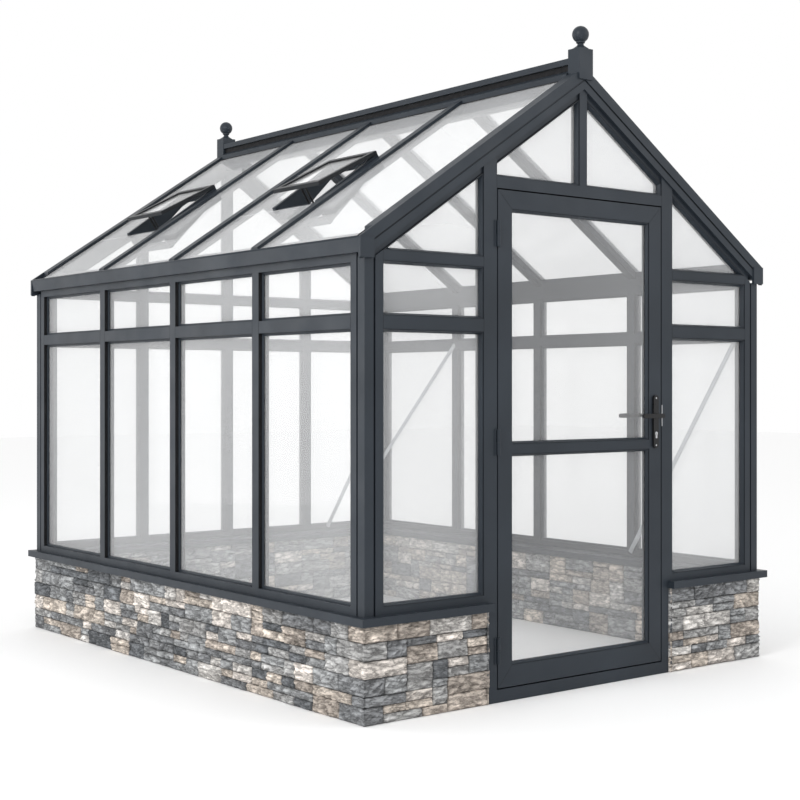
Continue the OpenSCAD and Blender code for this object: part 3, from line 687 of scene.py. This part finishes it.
def solids_of(node):
    """The corner points of each separate solid in a CAD node."""
    parent = {}

    def root(key):
        while parent[key] != key:
            key = parent[key]
        return key

    mesh = nodes[node].data
    keys = [tuple(round(c, 5) for c in v.co) for v in mesh.vertices]
    for key in keys:
        parent.setdefault(key, key)
    for face in mesh.polygons:
        first = root(keys[face.vertices[0]])
        for index in face.vertices[1:]:
            parent[root(keys[index])] = first
    groups = {}
    for key in parent:
        groups.setdefault(root(key), []).append(Vector(key))
    return list(groups.values())


def outline(points, normal):
    """The corners of a convex pane's face on the side of normal, in order round it."""
    most = max(p.dot(normal) for p in points)
    corners = [p for p in points if most - p.dot(normal) < 0.0005]
    centre = sum(corners, Vector()) / len(corners)
    side = normal.orthogonal().normalized()
    other = normal.cross(side)
    corners.sort(key=lambda p: math.atan2((p - centre).dot(other), (p - centre).dot(side)))
    kept = []
    for i, p in enumerate(corners):
        before, after = corners[i - 1], corners[(i + 1) % len(corners)]
        if (p - before).normalized().cross((after - p).normalized()).length > 0.001:
            kept.append(p)
    return kept


def inset_loop(loop, normal, inset, out):
    """A loop moved inwards by inset, with mitred corners, and out along normal."""
    moved = []
    for i, p in enumerate(loop):
        before = normal.cross((p - loop[i - 1]).normalized())
        after = normal.cross((loop[(i + 1) % len(loop)] - p).normalized())
        moved.append(p + (before + after) * (inset / (1 + before.dot(after))) + normal * out)
    return moved


def ring(shape, loop, normal, section, kind=0):
    """A mitred moulding round a pane: section is a closed list of (inset, out)."""
    part = Shape()
    part.rings([inset_loop(loop, normal, inset, out) for inset, out in section], closed=True)
    shape.add(part.verts, part.faces, kind)


REVEAL_LIFT = 0.0006
REVEAL_HALF = 0.0007
REVEAL_SHORT = 0.001
GASKET = [(0.0, 0.0), (0.0065, 0.0), (0.0065, 0.0025), (0.0, 0.0035)]


def bead_section(depth):
    """A sloping glazing bead that fills a rebate of this depth."""
    return [(0.0, 0.003), (0.0115, 0.003), (0.0115, 0.005), (0.004, depth - 0.004), (0.0, depth - 0.004)]


LOW_BEAD = [(0.0, 0.003), (0.011, 0.003), (0.011, 0.006), (0.004, 0.009), (0.0, 0.009)]


def reveal_shade_strip(shape, a, b, way, out0, out1):
    """A black strip of painted shade on the side of an opening along the edge a to b, from out0 to out1 off
    the pane.
    """
    along = (b - a).normalized()
    inward = way.cross(along)
    centre = (a + b) / 2 + way * (out0 + out1) / 2 + inward * REVEAL_LIFT
    halves = ((b - a).length / 2 - REVEAL_SHORT, (out1 - out0) / 2, REVEAL_HALF)
    shape.block(centre, (along, way, inward), halves, 1)


def glaze(shape, node, normal, rebate, inner_rebate, dark_reveal):
    """Beads and gaskets on both sides of every pane of a node, with black strips of painted shade in the
    reveals; kind 0 is the frame, 1 the black for rubber and painted shade.
    """
    for points in solids_of(node):
        for way, depth in ((normal, rebate), (-normal, inner_rebate)):
            loop = outline(points, way)
            ring(shape, loop, way, GASKET, 1)
            ring(shape, loop, way, LOW_BEAD if dark_reveal else bead_section(depth))
            for i, b in enumerate(loop):
                a = loop[i - 1]
                upright = abs((b - a).normalized().z) > 0.99
                if dark_reveal and upright:
                    reveal_shade_strip(shape, a, b, way, 0.009, depth - 0.0005)
                elif not dark_reveal:
                    reveal_shade_strip(shape, a, b, way, depth - 0.0125, depth - 0.0025)


def build_glazing():
    face_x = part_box("left_wall_frame")[0].x
    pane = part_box("left_wall_glass")
    rebate = pane[0].x - face_x
    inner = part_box("left_wall_frame")[1].x - pane[1].x
    walls = Shape()
    glaze(walls, "left_wall_glass", LEFT, rebate, inner, True)
    glaze(walls, "right_wall_glass", RIGHT, rebate, inner, True)
    walls.piece("side_glazing_beads", "greenhouse", "frame", [coat, rubber_and_shade])
    gables = Shape()
    glaze(gables, "front_glass", FRONT, rebate, inner, False)
    glaze(gables, "back_wall_glass", BACK, rebate, inner, False)
    gables.piece("gable_glazing_beads", "greenhouse", "frame", [coat, rubber_and_shade])
    door = Shape()
    leaf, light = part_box("door_leaf"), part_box("door_glass")
    glaze(door, "door_glass", FRONT, light[0].y - leaf[0].y, leaf[1].y - light[1].y, False)
    door.piece("door_glazing_beads", "door", "frame", [coat, rubber_and_shade])


# ---- small fittings ----

SEAL_INSET, SEAL_WIDTH, SEAL_RISE = 0.003, 0.006, 0.0015
RIDGE_SHADE_INSET, RIDGE_SHADE_WIDTH = 0.004, 0.008
SCREW_INSET = 0.013
LOCK_DROP = 0.081
COLLAR_SIDES = 32


def solid_boxes(node):
    """The lowest and highest corner of each separate solid in a CAD node."""
    boxes = []
    for points in solids_of(node):
        low = Vector([min(p[i] for p in points) for i in range(3)])
        high = Vector([max(p[i] for p in points) for i in range(3)])
        boxes.append((low, high))
    return boxes


def top_normal(node):
    """The direction in which the largest upward face of a node looks."""
    faces = [face for face in nodes[node].data.polygons if face.normal.z > 0.3]
    return max(faces, key=lambda face: face.area).normal.copy()


def build_roof_seals_and_shade():
    """Rubber seals on the roof panes just outside the bars, and black strips of painted shade on the panes
    just outside the ridge lips that hold them.
    """
    bars = solid_boxes("roof_bars_right")
    widths = sorted(high.y - low.y for low, high in bars)
    lap = (widths[-1] - widths[0]) / 2
    necks = [edge.y for box in bars for edge in box if box[1].y - box[0].y < widths[0] + 0.001]
    beam_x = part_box("ridge_beam")[1].x
    shape = Shape()
    for node in ("roof_glass_left", "roof_glass_right"):
        normal = top_normal(node)
        for points in solids_of(node):
            loop = outline(points, normal)
            for i, b in enumerate(loop):
                a = loop[i - 1]
                along = (b - a).normalized()
                inset, width = SEAL_INSET, SEAL_WIDTH
                if abs(along.y) < 0.2:
                    inset += lap if any(abs(a.y - y) < 0.002 for y in necks) else 0.0
                elif abs(a.x) < beam_x:
                    # Along the ridge the strip is painted shade under the lip.
                    inset = (beam_x - abs(a.x)) / normal.z + RIDGE_SHADE_INSET
                    width = RIDGE_SHADE_WIDTH
                else:
                    continue
                inward = normal.cross(along) * inset
                shape.strip(a + inward, b + inward, normal, width, SEAL_RISE)
    shape.piece("roof_seals_and_shade", "greenhouse", "frame", [rubber_and_shade])


def build_ridge_shadow_gap():
    """Painted shadow: black sheets on both sides of the neck under the ridge cap, where the recess lies in
    shade.
    """
    corners = [v.co for v in nodes["ridge_cap"].data.vertices]
    low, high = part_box("ridge_cap")
    neck_x = max(abs(p.x) for p in corners if p.z - low.z < 0.0005)
    under = min(p.z for p in corners if abs(p.x) > high.x - 0.0005)
    shape = Shape()
    for side in (LEFT, RIGHT):
        centre = side * neck_x + UP * (low.z + under) / 2 + BACK * (low.y + high.y) / 2
        shape.block(centre, (RIGHT, BACK, UP), (0.0008, (high.y - low.y) / 2, (under - low.z) / 2 - 0.0005))
    shape.piece("ridge_recess_shadow", "greenhouse", "frame", [rubber_and_shade])


def build_rafter_groove_shade():
    """Painted shade: a black line along the bottom of the groove in each gable rafter."""
    shape = Shape()
    for node, normal in (("front_gable_rafters", FRONT), ("back_gable_rafters", BACK)):
        mesh = nodes[node].data
        depths = {}
        for face in mesh.polygons:
            if face.normal.dot(normal) > 0.99:
                depths.setdefault(round(face.center.dot(normal), 4), []).append(face)
        # From the outside in: the end block, the two bands, then the groove.
        groove = sorted(depths, reverse=True)[3]
        for side in (-1, 1):
            points = [mesh.vertices[i].co for f in depths[groove] for i in f.vertices]
            points = [p for p in points if p.x * side > 0]
            near, far = min(abs(p.x) for p in points), max(abs(p.x) for p in points)
            ends = []
            for limit in (near, far):
                group = [p for p in points if abs(abs(p.x) - limit) < 0.006]
                ends.append(sum(group, Vector()) / len(group))
            shape.strip(ends[0], ends[1], normal, 0.005, 0.0006)
    shape.piece("rafter_groove_shade", "greenhouse", "frame", [rubber_and_shade])


def build_vent_seals():
    normal = top_normal("vent_glass")
    shape = Shape()
    for points in solids_of("vent_glass"):
        for way in (normal, -normal):
            ring(shape, outline(points, way), way, GASKET)
    shape.piece("vent_seals", "greenhouse", "frame", [rubber_and_shade])


def build_gutter_beads():
    """The rolled outer lip of each gutter."""
    shape = Shape()
    for points in solids_of("eaves_gutters"):
        lip = max(points, key=lambda p: abs(p.x))
        start = min(p.y for p in points)
        length = max(p.y for p in points) - start
        place = Vector((lip.x - math.copysign(0.003, lip.x), start, lip.z - 0.001))
        shape.turned(place, BACK, [(0.0045, 0.0), (0.0045, length)], 12)
    shape.piece("gutter_lips", "greenhouse", "frame", [coat], smooth=True)


def build_seams():
    """The fine joint lines where transoms and the lintel meet their uprights."""
    shape = Shape()
    outward = {"front_transoms": FRONT, "back_wall_transoms": BACK, "door_lintel": FRONT,
               "left_wall_transoms": LEFT, "right_wall_transoms": RIGHT}
    for node, normal in outward.items():
        across = UP.cross(normal)
        for low, high in solid_boxes(node):
            if high.z - low.z < 0.03:
                continue
            middle, half = (low + high) / 2, (high - low) / 2
            reach = abs(half.dot(across))
            face = middle + normal * abs(half.dot(normal))
            for end in (-1, 1):
                foot = face + across * end * reach - UP * half.z
                shape.strip(foot, foot + UP * 2 * half.z, normal, 0.0012, 0.0003)
    shape.piece("frame_seams", "greenhouse", "frame", [rubber_and_shade])


def lever_height():
    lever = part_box("door_lever")
    return (lever[0].z + lever[1].z) / 2


def build_door_details():
    """Mitre lines on the leaf, screws, a lock cylinder and a ring round the spindle."""
    leaf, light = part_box("door_leaf"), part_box("door_glass")
    shape = Shape()
    for x in (0, 1):
        for z in (0, 1):
            outer = Vector((leaf[x].x, leaf[0].y, leaf[z].z))
            inner = Vector((light[x].x, leaf[0].y, light[z].z))
            shape.strip(outer, inner, FRONT, 0.001, 0.0003)
    shape.piece("door_mitres", "door", "frame", [rubber_and_shade])

    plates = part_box("door_handle_plates")
    lever_z = lever_height()
    x = (plates[0].x + plates[1].x) / 2
    hardware = Shape()
    for out, y in ((FRONT, plates[0].y), (BACK, plates[1].y)):
        for z in (plates[1].z - SCREW_INSET, plates[0].z + SCREW_INSET):
            head = [(0.0038, -0.0005), (0.0038, 0.0006), (0.0028, 0.0012), (0.0004, 0.0013)]
            hardware.turned(Vector((x, y, z)), out, head, 20)
        lock = Vector((x, y, lever_z - LOCK_DROP))
        hardware.turned(lock, out, [(0.0085, -0.0005), (0.0085, 0.0015), (0.0075, 0.0022)], 28)
        hardware.block(lock - UP * 0.012, (RIGHT, out, UP), (0.005, 0.0018, 0.009))
        hardware.block(lock + out * 0.0022 - UP * 0.003, (RIGHT, out, UP), (0.0009, 0.0003, 0.005), 1)
    hardware.piece("lock_and_screws", "door", "handle", [steel, rubber_and_shade])

    collar = Shape()
    turns = [2 * math.pi * i / COLLAR_SIDES for i in range(COLLAR_SIDES)]
    rims = [RIGHT * math.cos(a) + UP * math.sin(a) for a in turns]
    for out, y in ((FRONT, plates[0].y), (BACK, plates[1].y)):
        centre = Vector((x, y, lever_z))
        section = [(0.0092, 0.0), (0.013, 0.0), (0.013, 0.003), (0.0118, 0.005), (0.0092, 0.005)]
        rings = []
        for radius, height in section:
            rings.append([centre + out * height + rim * radius for rim in rims])
        part = Shape()
        part.rings(rings, closed=True)
        collar.add(part.verts, part.faces)
    collar.piece("spindle_collars", "door", "handle", [satin])


def build_door_opening():
    """A steel strike on the right-hand post, and black sheets of painted shade in the gaps on the sides of
    the opening and above the leaf.
    """
    lintel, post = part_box("door_lintel"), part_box("door_posts")
    z = lever_height()
    strike = Shape()
    strike.block(Vector((lintel[1].x + 0.0022, post[0].y, z)), (RIGHT, FRONT, UP), (0.0022, 0.0008, 0.048))
    strike.piece("strike", "greenhouse", "handle", [steel], bevel=0.0004)
    gap_shade = Shape()
    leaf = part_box("door_leaf")
    middle = (leaf[0] + leaf[1]) / 2
    deep = (leaf[1].y - leaf[0].y) / 2 - 0.002
    for side in (-1, 1):
        centre = Vector((side * lintel[1].x, middle.y, middle.z))
        gap_shade.block(centre, (RIGHT, FRONT, UP), (0.0003, deep, (leaf[1].z - leaf[0].z) / 2))
    gap_shade.block(Vector((0, middle.y, leaf[1].z + 0.006)), (RIGHT, FRONT, UP), (leaf[1].x, deep, 0.0003))
    gap_shade.piece("door_gap_shade", "greenhouse", "frame", [rubber_and_shade])


# ---- dress the CAD nodes ----

def dress_nodes():
    special = {
        "door_glass": door_pane,
        "vent_leaf_frames": vent_coat,
        "roof_glass_left": roof_pane,
        "roof_glass_right": roof_pane,
        "vent_glass": roof_pane,
    }
    by_slot = {"frame": coat, "glass": glass, "stone": stone, "handle": satin, "brace": brace_metal}
    slots = {part["node"]: part["material_slot"] for part in frame["record"]["subparts"]}
    for name, node in nodes.items():
        for slot in node.material_slots:
            slot.material = special.get(name, by_slot[slots[name]])
        if slots[name] in ("frame", "brace"):
            soften(node, 0.0012)
        if slots[name] == "handle":
            soften(node, 0.0025, 3)


dress_nodes()
build_stone_walls()
build_glazing()
build_roof_seals_and_shade()
build_ridge_shadow_gap()
build_rafter_groove_shade()
build_vent_seals()
build_gutter_beads()
build_seams()
build_door_details()
build_door_opening()
